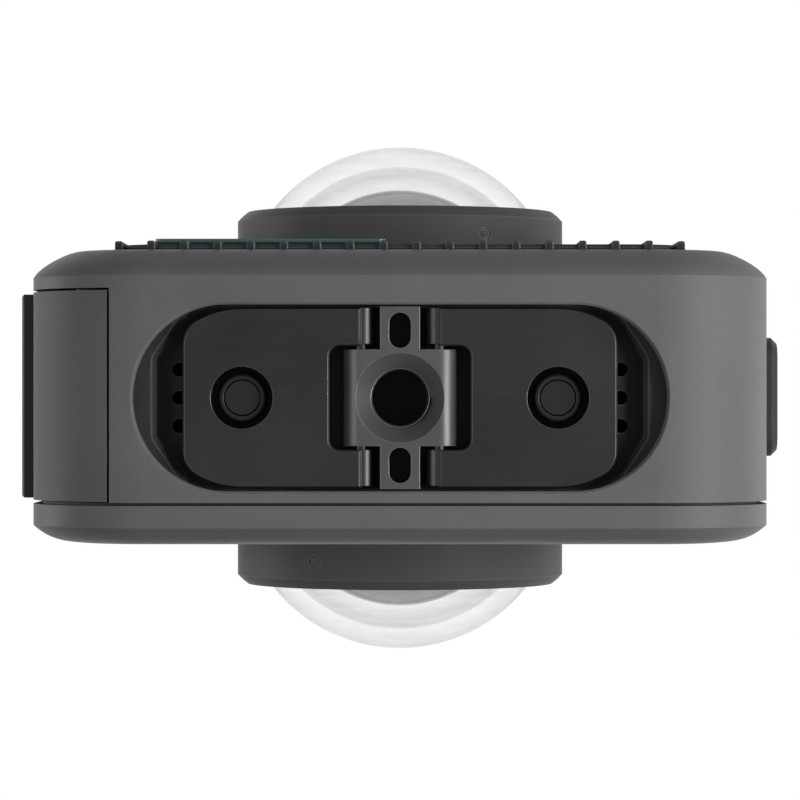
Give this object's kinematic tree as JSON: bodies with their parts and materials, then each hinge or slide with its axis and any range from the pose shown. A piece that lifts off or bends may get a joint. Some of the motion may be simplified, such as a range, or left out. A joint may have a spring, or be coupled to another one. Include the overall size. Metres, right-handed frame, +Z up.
{
  "type": "360 degree camera",
  "caption": "Pocket 360 degree camera with a domed lens front and back, a hinged battery door and fingers that unfold from its base.",
  "frame": {"origin": "axis of the tripod thread, on the bottom face the camera stands on", "axes": "+Z up, the front lens looks along -Y, +X to the right seen from the front"},
  "size_m": [0.0658, 0.0488, 0.0697],
  "materials": {
    "shell": "fine matte moulding",
    "door_shell": "fine matte moulding",
    "grille": "satin",
    "accent": "satin teal",
    "ring_metal": "dark anodised",
    "dark_steel": "dark brushed",
    "steel": "satin",
    "dome_glass": "coated and clear",
    "lens_glass": "coated",
    "screen": "polished",
    "black_part": "matte",
    "black_rubber": "matte",
    "frame": "matte",
    "cell": "wrapped",
    "board": "solder mask",
    "spreader": "satin",
    "contact": "plated",
    "red": "satin",
    "light": "frosted",
    "magnet": "plated"
  },
  "bodies": {
    "body": {"accent_strip": "accent", "antenna": "contact", "battery": "cell", "battery_contacts": "contact", "card_slot": "steel", "display_panel": "black_part", "door_hinge_pin": "steel", "frame_screws": "steel", "front_fisheye_element": "lens_glass", "front_grille": "grille", "front_housing": "shell", "front_lens_barrel": "black_part", "front_lens_socket": "black_part", "front_relay_element": "lens_glass", "front_sensor_board": "board", "heat_spreader": "spreader", "housing_gasket": "black_rubber", "inner_frame": "frame", "left_finger_pin": "steel", "left_magnet": "magnet", "left_magnet_cup": "steel", "main_board": "board", "memory_card": "black_part", "microphones": "steel", "mode_switch": "black_part", "mount_block": "dark_steel", "mount_screws": "steel", "mount_tray": "black_part", "rear_cover": "shell", "rear_fisheye_element": "lens_glass", "rear_lens_barrel": "black_part", "rear_lens_socket": "black_part", "rear_relay_element": "lens_glass", "rear_sensor_board": "board", "right_finger_pin": "steel", "right_magnet": "magnet", "right_magnet_cup": "steel", "screen_gasket": "black_rubber", "screen_glass": "screen", "shutter_ring": "red", "shutter_switch": "black_part", "speaker": "black_part", "status_light": "light", "usb_port": "steel"},
    "left_mount_finger": {"left_finger": "dark_steel"},
    "right_mount_finger": {"right_finger": "dark_steel"},
    "door": {"battery_door": "door_shell", "door_gasket": "black_rubber"},
    "latch": {"door_latch": "black_part"},
    "mode_key": {"mode_button": "black_part"},
    "shutter_key": {"shutter_button": "black_part"},
    "front_lens": {"front_lens_ring": "ring_metal", "front_lens_dome": "dome_glass", "front_lens_seal": "black_rubber", "front_lens_retainer": "black_part"},
    "rear_lens": {"rear_lens_ring": "ring_metal", "rear_lens_dome": "dome_glass", "rear_lens_seal": "black_rubber", "rear_lens_retainer": "black_part"}
  },
  "joints": [
    {"name": "left_finger_fold", "type": "hinge", "parent": "body", "child": "left_mount_finger", "pos_m": [-0.0033, 0, 0.00185], "axis": [0, -1, 0], "range_deg": [0, 90]},
    {"name": "right_finger_fold", "type": "hinge", "parent": "body", "child": "right_mount_finger", "pos_m": [0.0033, 0, 0.00185], "axis": [0, 1, 0], "range_deg": [0, 90]},
    {"name": "door_swing", "type": "hinge", "parent": "body", "child": "door", "pos_m": [-0.0303, 0, 0.0485], "axis": [0, 1, 0], "range_deg": [0, 90]},
    {"name": "latch_slide", "type": "slide", "parent": "door", "child": "latch", "axis": [0, 0, -1], "range_m": [0, 0.0015], "stiffness_N_per_m": 400},
    {"name": "mode_press", "type": "slide", "parent": "body", "child": "mode_key", "axis": [-1, 0, 0], "range_m": [0, 0.0006], "stiffness_N_per_m": 1500},
    {"name": "shutter_press", "type": "slide", "parent": "body", "child": "shutter_key", "axis": [0, 0, -1], "range_m": [0, 0.0008], "stiffness_N_per_m": 1500},
    {"name": "front_ring_twist", "type": "hinge", "parent": "body", "child": "front_lens", "pos_m": [0, 0, 0.05], "axis": [0, -1, 0], "range_deg": [0, 30]},
    {"name": "rear_ring_twist", "type": "hinge", "parent": "body", "child": "rear_lens", "pos_m": [0, 0, 0.05], "axis": [0, 1, 0], "range_deg": [0, 30]}
  ]
}
